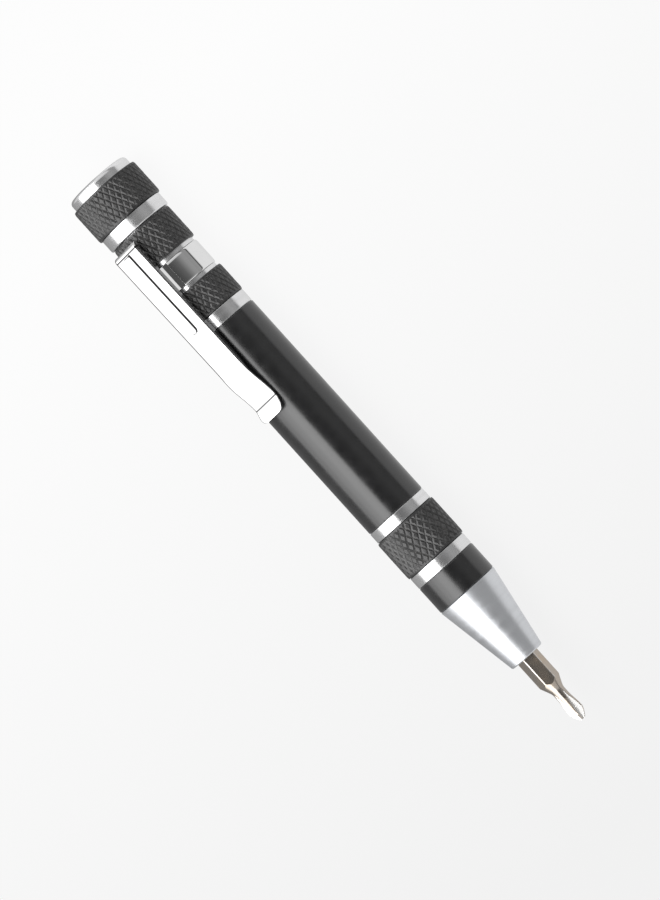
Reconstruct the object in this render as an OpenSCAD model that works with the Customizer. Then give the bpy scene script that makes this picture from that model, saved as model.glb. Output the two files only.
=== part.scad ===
// Pocket screwdriver. A bright tube carries knurled sleeves and trim rings.
// A cap at the rear draws out a rack of spare bits, and a magnetic socket in
// the nose holds the bit in use. The axis lies along X with the rear face at
// zero and the pocket clip on top.

/* [Bits] */
// Size of the hex shank across its flats, as a share of the barrel diameter
bit_share = 0.3175; // [0.29:0.0025:0.32]
// Length of every bit
bit_len = 28; // [26:1:30]
// Length of the turned end in front of the hex
tip_len = 8.5; // [7:0.5:10]
// Width of the cross point in use
tip_d = 3; // [2.4:0.1:3.2]
// Turn of the hex in the nose, in degrees
bit_roll = -12; // [-30:1:30]

/* [Cap] */
// Thickness of the bright end disc
cap_disc_len = 2; // [1.5:0.1:3]
// Height of the bright end disc over the barrel
cap_disc_rise = 0.25; // [0:0.05:0.5]
// Length of the knurled part of the cap
cap_grip_len = 7; // [6:0.5:10]
// Height of the knurl of the cap over the barrel
cap_grip_rise = 0.9; // [0.7:0.05:1.2]
// Length of the bright rim of the cap
cap_rim_len = 2.8; // [2:0.1:4]
// Height of the bright rim of the cap over the barrel
cap_rim_rise = 0.45; // [0.2:0.05:0.7]

/* [Barrel] */
// Diameter of the plain barrel and its trim rings
barrel_d = 12.6; // [11:0.1:15]
// Height of the two knurls beside the clip over the barrel
grip_rise = 0.15; // [0.1:0.05:0.3]
// Height of the knurl behind the nose over the barrel
front_grip_rise = 0.25; // [0.15:0.05:0.5]
// Wall of the plain sleeve and its trim rings
sleeve_wall = 0.5; // [0.45:0.05:0.6]
// Wall of the core tube
core_wall = 0.5; // [0.4:0.05:0.55]
// Length of the knurl behind the clip band
rear_grip_len = 7.1; // [6.5:0.1:8]
// Length of bare tube that takes the clip band
clip_groove_len = 7; // [6.5:0.1:8]
// Length of the knurl in front of the clip band
mid_grip_len = 6; // [5:0.5:8]
// Length of the ring in front of the middle knurl
mid_ring_len = 2.8; // [2:0.1:4]
// Length of the plain black sleeve
sleeve_len = 45.6; // [44:0.2:60]
// Length of the ring behind the front knurl
front_ring_len = 2.4; // [2:0.1:4]
// Length of the front knurl
front_grip_len = 8.4; // [7:0.2:12]
// Length of the ring in front of the front knurl
nose_ring_len = 2.6; // [2:0.1:4]
// Length of the black band behind the cone
nose_band_len = 5.7; // [5:0.1:8]

/* [Nose] */
// Length of the cone
cone_len = 16.2; // [14:0.2:20]
// Wall of the bush at the corners of the hex hole
bush_wall = 0.63; // [0.5:0.01:1]
// Wall of the cone at its mouth
mouth_wall = 0.45; // [0.4:0.05:0.8]
// Depth of the bit in the nose
socket_depth = 13; // [11:0.5:15]
// Length of the magnet
magnet_len = 5; // [3:0.5:6]

/* [Clip] */
// Width of the clip
clip_w = 6.2; // [5.5:0.1:6.5]
// Thickness of the clip strip
clip_sheet = 0.5; // [0.4:0.05:0.6]
// Distance of the clip rear end from the rear face of the tube
clip_setback = 1.3; // [1:0.1:2]
// Length of the clip over all
clip_len = 40.1; // [38:0.1:46]
// Height of the clip face over the barrel at its rear
clip_rise = 2.2; // [2:0.1:2.6]
// Fall of the clip face along the straight part
clip_fall = 0.38; // [0.1:0.02:0.5]
// Depth of the folded side walls
clip_wall = 1.7; // [1.2:0.1:1.8]
// Length of the band round the tube
band_len = 5.5; // [4.5:0.1:6]
// Thickness of the band
band_sheet = 0.28; // [0.2:0.02:0.3]
// Thickness of the band legs inside the clip walls
leg_sheet = 0.5; // [0.3:0.05:0.6]
// Length of the raised rib
rib_len = 18.9; // [16:0.1:20]
// Width of the raised rib
rib_w = 1.5; // [1:0.1:2]
// Height of the raised rib
rib_h = 0.25; // [0.15:0.05:0.4]

/* [Knurl] */
// Spacing of the knurl round the sleeve
knurl_pitch = 1.2; // [1:0.05:1.6]
// Half the length of one diamond along the sleeve
knurl_step = 1.15; // [0.9:0.05:1.5]
// Depth of the knurl
knurl_depth = 0.3; // [0.2:0.05:0.35]

/* [Fits] */
// Radial room of a pressed piece
press_fit = 0.03; // [0.02:0.01:0.05]
// Radial room of a piece that slides or turns
run_fit = 0.1; // [0.05:0.01:0.15]
// Room between faces that pass each other
face_gap = 0.2; // [0.1:0.05:0.3]

/* [Hidden] */
$fn = 96;
overrun = 1;
edge = 0.2;
knurl_edge = 0.3;
rim_round = 0.7;
disc_round = 0.8;

// Stations along the axis, from the rear face
cap_grip_x = cap_disc_len;
cap_rim_x = cap_grip_x + cap_grip_len;
cap_front_x = cap_rim_x + cap_rim_len;
tube_x = cap_front_x + face_gap;
groove_x = tube_x + rear_grip_len;
mid_grip_x = groove_x + clip_groove_len;
mid_ring_x = mid_grip_x + mid_grip_len;
sleeve_x = mid_ring_x + mid_ring_len;
front_ring_x = sleeve_x + sleeve_len;
front_grip_x = front_ring_x + front_ring_len;
nose_ring_x = front_grip_x + front_grip_len;
nose_band_x = nose_ring_x + nose_ring_len;
cone_x = nose_band_x + nose_band_len;
mouth_x = cone_x + cone_len;
bit_x = mouth_x - socket_depth;

// Radii
core_r = barrel_d / 2 - sleeve_wall;
bore_r = core_r - core_wall;
sleeve_bore_r = core_r + press_fit;
grip_d = barrel_d + 2 * grip_rise;
front_grip_d = barrel_d + 2 * front_grip_rise;
cap_disc_d = barrel_d + 2 * cap_disc_rise;
cap_grip_d = barrel_d + 2 * cap_grip_rise;
cap_rim_d = barrel_d + 2 * cap_rim_rise;
bit_af = bit_share * barrel_d;
hex_flats = 6;
hex_r = bit_af / 2 / cos(180 / hex_flats);

// Cap stub, its seal and the swivel of the rack
cap_spigot_r = core_r + run_fit;
stub_r = bore_r - run_fit;
stub_len = 5.8;
stub_end_x = cap_front_x + stub_len;
seal_r = 0.5;
seal_ring_r = bore_r - seal_r - press_fit;
seal_groove_r = seal_ring_r - seal_r - press_fit;
seal_groove_len = 2 * seal_r + run_fit;
seal_groove_x = tube_x + seal_groove_len;
seal_x = seal_groove_x + seal_groove_len / 2;
stem_r = 2;
stem_head_r = 2.5;
stem_head_len = 1.2;
head_room_x = cap_front_x - stem_head_len;
neck_x = head_room_x + stem_head_len + 2 * run_fit;

// Rack of spare bits
rack_slots = 3;
rack_tiers = 2;
rack_disc_len = 1.5;
bit_room = 0.3;
rack_r = bore_r - run_fit - run_fit / 2;
rack_x = stub_end_x + face_gap;
tier_len = bit_len + 2 * bit_room;
rack_len = rack_tiers * tier_len + (rack_tiers + 1) * rack_disc_len;
rack_slot_w = bit_af + bit_room;
rack_pitch_r = rack_r - hex_r - run_fit / 2;

// Nose
spigot_len = 9.6;
bush_back = 3.6;
bush_x = bit_x - magnet_len - bush_back;
magnet_x = bit_x - run_fit - magnet_len;
magnet_r = bit_af / 2;
hex_hole_af = bit_af + run_fit;
hex_hole_r = hex_hole_af / 2 / cos(180 / hex_flats);
bush_r = hex_hole_r + bush_wall;
cone_tip_d = 2 * (bush_r + mouth_wall);
mouth_lip = 0.2;

// Clip
clip_x = tube_x + clip_setback;
clip_end_x = clip_x + clip_len;
clip_face = barrel_d / 2 + clip_rise;
lip_run = 0.95;
lip_drop = 0.6;
clip_seat = 0.15;
clip_foot = barrel_d / 2 + clip_seat + clip_sheet;
lip_foot = grip_d / 2 + run_fit;
leg_y = (clip_w - clip_sheet) / 2;
leg_foot = sqrt(core_r * core_r - leg_y * leg_y);
flare_len = 2.8;
flare_h = 1.05;
dip_len = 7.6;
dip_x = clip_end_x - flare_len - dip_len;
crease_x = clip_end_x - flare_len;
band_x = groove_x + (clip_groove_len - band_len) / 2;
split_gap = 0.1;
split_x = band_x + band_len + run_fit;
rib_end_x = clip_x + rib_len;
tip_round = 1.3;
bend_steps = 6;
dip_steps = 10;

// Bit ends
shoulder_angle = 24;
hex_back_chamfer = 0.4;
neck_share = 0.84;
tip_shares = [0.43, 0.67, 0.82];
point_share = 0.15;
flute_turn = 23;
flute_root_share = 0.1;
flute_half_angle = 52;
blade_share = 0.45;
star_share = 0.72;
star_notch_share = 0.2;
cross_ds = [3, 2];
slot_ds = [3, 2.2];
blade_ts = [0.5, 0.4];
star_ds = [2.2, 1.7];

// Lays a piece that is drawn along Z, with the clip side at +X, along the pen axis
module laid() rotate([0, 90, 0]) rotate([0, 0, 180]) children();

// Turned ring with chamfered outer edges
module ring(x, len, outer_r, inner_r, front, back) {
    rotate_extrude()
        polygon([[inner_r, x], [outer_r - back, x], [outer_r, x + back],
            [outer_r, x + len - front], [outer_r - front, x + len], [inner_r, x + len]]);
}

// One ring of points for the knurl
function circle_row(r, z, count) =
    [for (j = [0 : count - 1]) [r * cos(360 * j / count), r * sin(360 * j / count), z]];

// One row of the knurl: every second point is a peak, and the end rows stay low
function knurl_row(i, rows, low, high, z, count) =
    [for (j = [0 : count - 1])
        let (r = i == 0 || i == rows || (i + j) % 2 == 0 ? low : high)
        [r * cos(360 * j / count), r * sin(360 * j / count), z]];

// Two triangles of one cell, split along the line that joins its low corners
function cell(k, next, j, count, even) =
    let (a = k * count + j, b = k * count + (j + 1) % count,
         c = next * count + j, d = next * count + (j + 1) % count)
    even ? [[a, c, d], [a, d, b]] : [[a, c, b], [c, d, b]];

// Sleeve with a diamond knurl: pyramids on a lozenge grid, with a plain bore
module knurl_sleeve(x, len, outer_d, inner_r) {
    high = outer_d / 2;
    low = high - knurl_depth;
    count = 2 * round(PI * outer_d / knurl_pitch / 2) * 2;
    rows = 2 * round((len - 2 * knurl_edge) / knurl_step / 2);
    step = (len - 2 * knurl_edge) / rows;
    points = concat(
        circle_row(inner_r, x, count),
        circle_row(low - edge, x, count),
        [for (i = [0 : rows]) each knurl_row(i, rows, low, high, x + knurl_edge + i * step, count)],
        circle_row(low - edge, x + len, count),
        circle_row(inner_r, x + len, count));
    total = rows + 5;
    faces = [for (k = [0 : total - 1]) for (j = [0 : count - 1])
        each cell(k, (k + 1) % total, j, count, (k + j) % 2 == 0)];
    polyhedron(points = points, faces = faces, convexity = 10);
}

module core_tube() color("Silver") laid()
    ring(tube_x, cone_x - tube_x - run_fit, core_r, bore_r, edge / 2, edge / 2);

module rear_grip() color("DimGray") laid() knurl_sleeve(tube_x, rear_grip_len, grip_d, sleeve_bore_r);

module mid_grip() color("DimGray") laid() knurl_sleeve(mid_grip_x, mid_grip_len, grip_d, sleeve_bore_r);

module mid_ring() color("Silver") laid()
    ring(mid_ring_x, mid_ring_len, barrel_d / 2, sleeve_bore_r, edge, edge);

module barrel_sleeve() color("Black") laid()
    ring(sleeve_x, sleeve_len, barrel_d / 2, sleeve_bore_r, edge / 2, edge / 2);

module front_ring() color("Silver") laid()
    ring(front_ring_x, front_ring_len, barrel_d / 2, sleeve_bore_r, edge, edge);

module front_grip() color("DimGray") laid()
    knurl_sleeve(front_grip_x, front_grip_len, front_grip_d, sleeve_bore_r);

module nose_ring() color("Silver") laid()
    ring(nose_ring_x, nose_ring_len, barrel_d / 2, sleeve_bore_r, edge, edge);

module nose_band() color("Black") laid()
    ring(nose_band_x, nose_band_len, barrel_d / 2, sleeve_bore_r, edge, edge / 2);

// Cone with a spigot in the tube and a stepped hole for the bush
module nose_cone() color("Silver") laid() {
    spigot_r = bore_r - press_fit;
    hole_r = bush_r + press_fit;
    rotate_extrude()
        polygon([[0, cone_x - spigot_len], [spigot_r - edge, cone_x - spigot_len],
            [spigot_r, cone_x - spigot_len + edge], [spigot_r, cone_x],
            [barrel_d / 2 - edge, cone_x], [barrel_d / 2, cone_x + edge],
            [cone_tip_d / 2 + edge / 2, mouth_x - edge], [cone_tip_d / 2 - edge / 2, mouth_x],
            [hole_r, mouth_x], [hole_r, bush_x], [0, bush_x]]);
}

// Bush with the hex hole in front and the round magnet pocket behind it
module bit_socket() color("DarkGray") laid() {
    difference() {
        translate([0, 0, bush_x]) cylinder(h = mouth_x - mouth_lip - bush_x, r = bush_r);
        translate([0, 0, bit_x - run_fit]) rotate(bit_roll)
            cylinder(h = socket_depth + overrun, r = hex_hole_r, $fn = hex_flats);
        translate([0, 0, magnet_x - press_fit])
            cylinder(h = magnet_len + 2 * press_fit, r = magnet_r + press_fit);
    }
}

module magnet() color("SlateGray") laid() translate([0, 0, magnet_x]) cylinder(h = magnet_len, r = magnet_r);

// Hex shank from zero, with a chamfer behind and a long shoulder down to the neck
module hex_shank(neck_r) {
    hex_len = bit_len - tip_len;
    slope = tan(shoulder_angle);
    corner_len = hex_len - (hex_r - bit_af / 2) / slope;
    neck_len = hex_len + (bit_af / 2 - neck_r) / slope;
    intersection() {
        cylinder(h = neck_len, r = hex_r, $fn = hex_flats);
        rotate_extrude()
            polygon([[0, 0], [hex_r - hex_back_chamfer, 0], [hex_r, hex_back_chamfer],
                [hex_r, corner_len], [neck_r, neck_len], [0, neck_len]]);
    }
}

// Turned end of a bit, as far as its point
module turned_end(d, end_r) {
    rotate_extrude()
        polygon([[0, -edge], [neck_share * d / 2, -edge], [neck_share * d / 2, tip_shares[0] * tip_len],
            [d / 2, tip_shares[1] * tip_len], [d / 2, tip_shares[2] * tip_len],
            [end_r, tip_len], [0, tip_len]]);
}

// Cross point: four V flutes that run out along the taper
module cross_tip(d) {
    root = flute_root_share * d;
    lean = atan((d / 2 - root) / tip_len);
    difference() {
        turned_end(d, point_share * d);
        for (a = [0 : 3]) rotate(flute_turn + 90 * a) translate([root, 0, tip_len]) rotate([0, 180 - lean, 0])
            translate([0, 0, -overrun]) linear_extrude(tip_len + 2 * overrun)
                polygon([[0, 0], [-d, d * tan(flute_half_angle)], [-d, -d * tan(flute_half_angle)]]);
    }
}

// Slotted end: a round blank with two flats that close on the blade
module slot_tip(d, blade) {
    heel = blade_share * tip_len;
    intersection() {
        rotate_extrude()
            polygon([[0, -edge], [d / 2, -edge], [d / 2, tip_len], [0, tip_len]]);
        translate([0, d, 0]) rotate([90, 0, 0]) linear_extrude(2 * d)
            polygon([[-d, -overrun], [d, -overrun], [d / 2, heel], [blade / 2, tip_len],
                [-blade / 2, tip_len], [-d / 2, heel]]);
    }
}

// Star end: a round neck and a six lobed key with a small lead
module star_tip(d) {
    neck = star_share * tip_len;
    notch = star_notch_share * d;
    translate([0, 0, -edge]) cylinder(h = neck + edge, r = d / 2);
    intersection() {
        linear_extrude(tip_len) difference() {
            circle(r = d / 2);
            for (a = [0 : 5]) rotate(60 * a) translate([d / 2 + notch / 4, 0]) circle(r = notch);
        }
        rotate_extrude()
            polygon([[0, 0], [d / 2, 0], [d / 2, tip_len - edge], [d / 2 - edge, tip_len], [0, tip_len]]);
    }
}

module driver_bit() color("DarkSlateGray") laid() translate([0, 0, bit_x]) rotate(bit_roll) {
    hex_shank(neck_share * tip_d / 2);
    translate([0, 0, bit_len - tip_len]) cross_tip(tip_d);
}

// Puts a spare bit in one slot of the rack
module stored(tier, slot, neck_r) {
    turn = 360 * slot / rack_slots + 180 / rack_slots;
    x = rack_x + rack_disc_len + tier * (tier_len + rack_disc_len) + bit_room;
    laid() rotate(turn) translate([rack_pitch_r, 0, x]) {
        hex_shank(neck_r);
        translate([0, 0, bit_len - tip_len]) children();
    }
}

module spare_cross_large() color("DarkSlateGray")
    stored(0, 0, neck_share * cross_ds[0] / 2) cross_tip(cross_ds[0]);

module spare_cross_small() color("DarkSlateGray")
    stored(1, 0, neck_share * cross_ds[1] / 2) cross_tip(cross_ds[1]);

module spare_slot_large() color("DarkSlateGray")
    stored(0, 1, slot_ds[0] / 2) slot_tip(slot_ds[0], blade_ts[0]);

module spare_slot_small() color("DarkSlateGray")
    stored(1, 1, slot_ds[1] / 2) slot_tip(slot_ds[1], blade_ts[1]);

module spare_star_large() color("DarkSlateGray")
    stored(0, 2, star_ds[0] / 2) star_tip(star_ds[0]);

module spare_star_small() color("DarkSlateGray")
    stored(1, 2, star_ds[1] / 2) star_tip(star_ds[1]);

// Cage of three discs and three ribs, with a stem that turns in the cap
module bit_rack() color("Gainsboro") laid() {
    difference() {
        translate([0, 0, rack_x]) cylinder(h = rack_len, r = rack_r);
        for (tier = [0 : rack_tiers - 1]) for (slot = [0 : rack_slots - 1])
            rotate(360 * slot / rack_slots + 180 / rack_slots)
                translate([0, -rack_slot_w / 2, rack_x + rack_disc_len + tier * (tier_len + rack_disc_len)])
                    cube([rack_r + overrun, rack_slot_w, tier_len]);
    }
    translate([0, 0, head_room_x + run_fit]) {
        cylinder(h = rack_x - head_room_x, r = stem_r);
        cylinder(h = stem_head_len, r = stem_head_r);
    }
}

// Turned core of the cap: end disc, spigot for the sleeves and stub in the tube
module cap_plug() color("Silver") laid() {
    disc_r = cap_disc_d / 2;
    rotate_extrude()
        polygon(concat(
            [[0, 0]],
            [for (i = [0 : bend_steps]) let (a = 90 * i / bend_steps)
                [disc_r - disc_round + disc_round * sin(a), disc_round - disc_round * cos(a)]],
            [[disc_r, cap_grip_x], [cap_spigot_r, cap_grip_x], [cap_spigot_r, cap_front_x],
            [stub_r, cap_front_x], [stub_r, seal_groove_x], [seal_groove_r, seal_groove_x],
            [seal_groove_r, seal_groove_x + seal_groove_len], [stub_r, seal_groove_x + seal_groove_len],
            [stub_r, stub_end_x - edge], [stub_r - edge, stub_end_x],
            [stem_r + run_fit, stub_end_x], [stem_r + run_fit, neck_x],
            [stem_head_r + run_fit, neck_x], [stem_head_r + run_fit, head_room_x], [0, head_room_x]]));
}

module cap_grip() color("DimGray") laid()
    knurl_sleeve(cap_grip_x, cap_grip_len, cap_grip_d, cap_spigot_r + press_fit);

module cap_rim() color("Silver") laid()
    ring(cap_rim_x, cap_rim_len, cap_rim_d / 2, cap_spigot_r + press_fit, rim_round, edge);

module cap_o_ring() color("Black") laid()
    translate([0, 0, seal_x]) rotate_extrude() translate([seal_ring_r, 0]) circle(r = seal_r);

// Height of the clip face along the axis
function face_at(x) = clip_face - clip_fall * (x - clip_x) / (dip_x - clip_x);

// Line of the clip face from the split to the flared end
function arm_line() = concat(
    [[split_x + split_gap, face_at(split_x + split_gap)]],
    [for (i = [0 : dip_steps]) let (u = i / dip_steps, top = face_at(dip_x))
        [dip_x + u * dip_len, top + (clip_foot - top) * (1 - cos(180 * u)) / 2]],
    [[clip_end_x, clip_foot + flare_h]]);

// Line of the clip face from the foot of the rear lip over its slope to the split
function saddle_line() = [[clip_x, lip_foot], [clip_x, face_at(clip_x) - lip_drop],
    [clip_x + lip_run, face_at(clip_x + lip_run)], [split_x, face_at(split_x)]];

// Strip under a line: the line itself and the same line moved by the sheet
function sheet(line, t) = concat(line, [for (i = [len(line) - 1 : -1 : 0])
    let (a = line[max(i - 1, 0)], b = line[min(i + 1, len(line) - 1)], d = b - a)
    line[i] + t * [d[1], -d[0]] / norm(d)]);

// Wall under the face between two stations
function wall(x0, x1) = [[x0, face_at(x0) - clip_sheet / 2], [x1, face_at(x1) - clip_sheet / 2],
    [x1, face_at(x1) - clip_wall], [x0, face_at(x0) - clip_wall]];

// Rear end of a wall, which closes the side of the lip
function lip_wall(x) = [[x, face_at(x) - clip_wall], [x, face_at(x) - lip_drop - clip_sheet / 2]];

// Raises a side view, drawn as station and height, to a width
module side_view(w, y) multmatrix([[0, 1, 0, 0], [0, 0, 1, y - w / 2], [1, 0, 0, 0]])
    linear_extrude(w) children();

// Folded walls on both sides of the strip
module walls(points) for (s = [-1, 1]) side_view(clip_sheet, s * (clip_w - clip_sheet) / 2) polygon(points);

// Raised rib along the face
module rib(x0, x1) side_view(rib_w, 0)
    polygon([[x0, face_at(x0) - clip_sheet / 2], [x1, face_at(x1) - clip_sheet / 2],
        [x1, face_at(x1) + rib_h], [x0, face_at(x0) + rib_h]]);

module clip_saddle() color("WhiteSmoke") laid() {
    side_view(clip_w, 0) polygon(sheet(saddle_line(), clip_sheet));
    walls(concat(wall(clip_x + lip_run, split_x), lip_wall(clip_x + clip_sheet / 2)));
    rib(clip_x + lip_run + rib_h, split_x);
    difference() {
        union() {
            translate([0, 0, band_x]) cylinder(h = band_len, r = sleeve_bore_r + band_sheet);
            for (s = [-1, 1]) translate([leg_foot, s * (leg_y - leg_sheet / 2) - leg_sheet / 2, band_x])
                cube([face_at(split_x) - clip_sheet / 2 - leg_foot, leg_sheet, band_len]);
        }
        translate([0, 0, band_x - overrun]) cylinder(h = band_len + 2 * overrun, r = sleeve_bore_r);
    }
}

module clip_arm() color("WhiteSmoke") laid() {
    start = split_x + split_gap;
    intersection() {
        side_view(clip_w, 0) polygon(sheet(arm_line(), clip_sheet));
        translate([0, 0, start - overrun]) rotate([0, 90, 0]) linear_extrude(clip_face + overrun)
            arm_outline(clip_end_x - start + overrun);
    }
    walls(wall(start, dip_x));
    rib(start, rib_end_x);
    translate([face_at(rib_end_x) - clip_sheet / 2, 0, rib_end_x]) rotate([0, 90, 0])
        cylinder(h = rib_h + clip_sheet / 2, r = rib_w / 2);
}

// Plan of the arm with its rounded front corners
module arm_outline(len) {
    translate([-len + tip_round, -clip_w / 2]) square([len - tip_round, clip_w]);
    translate([-len, -clip_w / 2 + tip_round]) square([len, clip_w - 2 * tip_round]);
    for (s = [-1, 1]) translate([-len + tip_round, s * (clip_w / 2 - tip_round)]) circle(r = tip_round);
}

core_tube();
rear_grip();
mid_grip();
mid_ring();
barrel_sleeve();
front_ring();
front_grip();
nose_ring();
nose_band();
nose_cone();
bit_socket();
magnet();
driver_bit();
clip_saddle();
clip_arm();
cap_plug();
cap_grip();
cap_rim();
cap_o_ring();
bit_rack();
spare_cross_large();
spare_cross_small();
spare_slot_large();
spare_slot_small();
spare_star_large();
spare_star_small();
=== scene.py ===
"""Looks of the pocket screwdriver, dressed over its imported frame.

The pen lies along X with its rear face at zero and its clip on top. Sizes in
the classes are in millimetres, and meshes are built in metres.
"""

import logging
import math
from dataclasses import dataclass, field
from enum import Enum
from typing import Any, ClassVar, Sequence

import bmesh
import bpy
import numpy as np
from mathutils import Matrix, Vector


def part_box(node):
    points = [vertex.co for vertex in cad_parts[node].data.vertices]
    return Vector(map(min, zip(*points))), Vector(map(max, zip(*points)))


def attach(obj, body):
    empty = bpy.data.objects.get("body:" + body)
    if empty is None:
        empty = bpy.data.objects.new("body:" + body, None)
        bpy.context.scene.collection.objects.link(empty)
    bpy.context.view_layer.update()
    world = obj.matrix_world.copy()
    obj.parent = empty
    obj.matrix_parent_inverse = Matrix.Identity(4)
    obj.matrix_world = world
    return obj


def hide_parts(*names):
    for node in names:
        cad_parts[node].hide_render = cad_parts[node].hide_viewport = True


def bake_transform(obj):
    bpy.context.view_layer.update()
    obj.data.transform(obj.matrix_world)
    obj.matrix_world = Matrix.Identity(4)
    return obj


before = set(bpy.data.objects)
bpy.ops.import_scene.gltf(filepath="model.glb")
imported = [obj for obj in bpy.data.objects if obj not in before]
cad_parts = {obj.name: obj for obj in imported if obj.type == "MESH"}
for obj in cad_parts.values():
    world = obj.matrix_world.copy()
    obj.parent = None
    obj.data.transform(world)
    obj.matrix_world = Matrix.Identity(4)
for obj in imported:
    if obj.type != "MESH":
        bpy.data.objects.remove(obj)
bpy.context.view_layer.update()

LOG = logging.getLogger("pocket_screwdriver")
MM = 0.001

Pair = tuple[float, float]
Colour = tuple[float, float, float]
Corner = tuple[float, float, float]
Faces = list[tuple[int, ...]]
Tree = bpy.types.NodeTree
Socket = bpy.types.NodeSocket
Node = bpy.types.Node


class Body(Enum):
    """The moving bodies of the frame."""

    BARREL = "barrel"
    CLIP = "clip"
    RACK = "rack"
    CAP = "cap"
    BIT = "bit"


class Point(Enum):
    """The ends that a bit can have."""

    CROSS = "cross"
    BLADE = "blade"
    STAR = "star"


# Node trees


class Wiring:
    """Adds nodes to one shader tree and joins them."""

    def __init__(self, tree: Tree) -> None:
        """Keeps the tree that the nodes go into."""
        self.tree = tree

    def add(self, kind: str, inputs: dict[str | int, Any] | None = None, **settings: Any) -> Node:
        """Adds one node.

        Args:
            kind: Blender's name of the node type.
            inputs: A constant or an output socket for each input by name.
            **settings: Properties of the node itself.

        Returns:
            The new node.
        """
        node = self.tree.nodes.new(kind)
        for name, value in settings.items():
            setattr(node, name, value)
        for key, value in (inputs or {}).items():
            if isinstance(value, Socket):
                self.tree.links.new(value, node.inputs[key])
            else:
                node.inputs[key].default_value = value
        return node

    def group(self, tree: Tree, **values: Any) -> Any:
        """Places a shader group with its own values and returns its outputs."""
        return self.add("ShaderNodeGroup", values, node_tree=tree).outputs

    def place(self) -> Socket:
        """The position on the object."""
        return self.add("ShaderNodeTexCoord").outputs["Object"]

    def mask(self, name: str) -> Socket:
        """A mask that the mesh carries, by its name."""
        return self.add("ShaderNodeAttribute", attribute_name=name).outputs["Fac"]

    def parts(self, vector: Socket) -> Any:
        """The X, Y and Z of a vector."""
        return self.add("ShaderNodeSeparateXYZ", {0: vector}).outputs

    def math(self, operation: str, first: Any, second: Any = 0.0) -> Socket:
        """Adds a Math node and returns its output."""
        return self.add("ShaderNodeMath", {0: first, 1: second}, operation=operation).outputs[0]

    def shift(self, value: Any, mask: Any, amount: float) -> Socket:
        """Adds an amount to a value where a mask is 1."""
        return self.math("ADD", value, self.math("MULTIPLY", mask, amount))

    def span(self, value: Any, source: Pair, target: Pair, smooth: bool = False) -> Socket:
        """Maps a value from one range to another, held at its ends.

        Args:
            value: The socket to map.
            source: The range that comes in.
            target: The range that goes out.
            smooth: True for an S curve between the ends.

        Returns:
            The mapped value.
        """
        ends = {"From Min": source[0], "From Max": source[1], "To Min": target[0], "To Max": target[1]}
        kind = "SMOOTHSTEP" if smooth else "LINEAR"
        node = self.add("ShaderNodeMapRange", {"Value": value, **ends}, interpolation_type=kind)
        return node.outputs["Result"]

    def mix(self, factor: Any, first: Any, second: Any) -> Socket:
        """Mixes two colours.

        Args:
            factor: 0 for the first colour and 1 for the second.
            first: A colour or a socket.
            second: A colour or a socket.

        Returns:
            The mixed colour.
        """
        pair = [(*c, 1.0) if isinstance(c, tuple) else c for c in (first, second)]
        node = self.add("ShaderNodeMix", {0: factor, 6: pair[0], 7: pair[1]}, data_type="RGBA")
        return node.outputs[2]

    def noise(self, vector: Socket, scale: Any, detail: float) -> Socket:
        """Adds a Noise Texture and returns its value."""
        inputs = {"Vector": vector, "Scale": scale, "Detail": detail}
        return self.add("ShaderNodeTexNoise", inputs).outputs[0]

    def bump(self, height: Socket, depth: float, strength: float) -> Socket:
        """Adds a Bump node of a depth in millimetres and returns its normal."""
        inputs = {"Height": height, "Distance": depth * MM, "Strength": strength}
        return self.add("ShaderNodeBump", inputs).outputs["Normal"]

    def levels(self, value: Any, stops: Sequence[Pair]) -> Socket:
        """Grey levels by a value, straight from stop to stop.

        Args:
            value: The socket that picks the place.
            stops: Place and level of each stop, in rising order.

        Returns:
            The grey.
        """
        first, last = stops[0][0], stops[-1][0]
        share = self.span(value, (first, last), (0.0, 1.0))
        ramp = self.add("ShaderNodeValToRGB", {0: share})
        line = ramp.color_ramp.elements
        while len(line) < len(stops):
            line.new(0.5)
        for stop, (place, level) in zip(line, stops):
            stop.position = (place - first) / (last - first)
            stop.color = (level, level, level, 1.0)
        return ramp.outputs[0]

    def end(self, target: Node, **values: Socket) -> Tree:
        """Links outputs to a node's inputs, named with _ for a space.

        Args:
            target: The node that takes the values.
            **values: Output sockets by the name of the input.

        Returns:
            The tree.
        """
        for name, value in values.items():
            self.tree.links.new(value, target.inputs[name.replace("_", " ")])
        return self.tree


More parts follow.
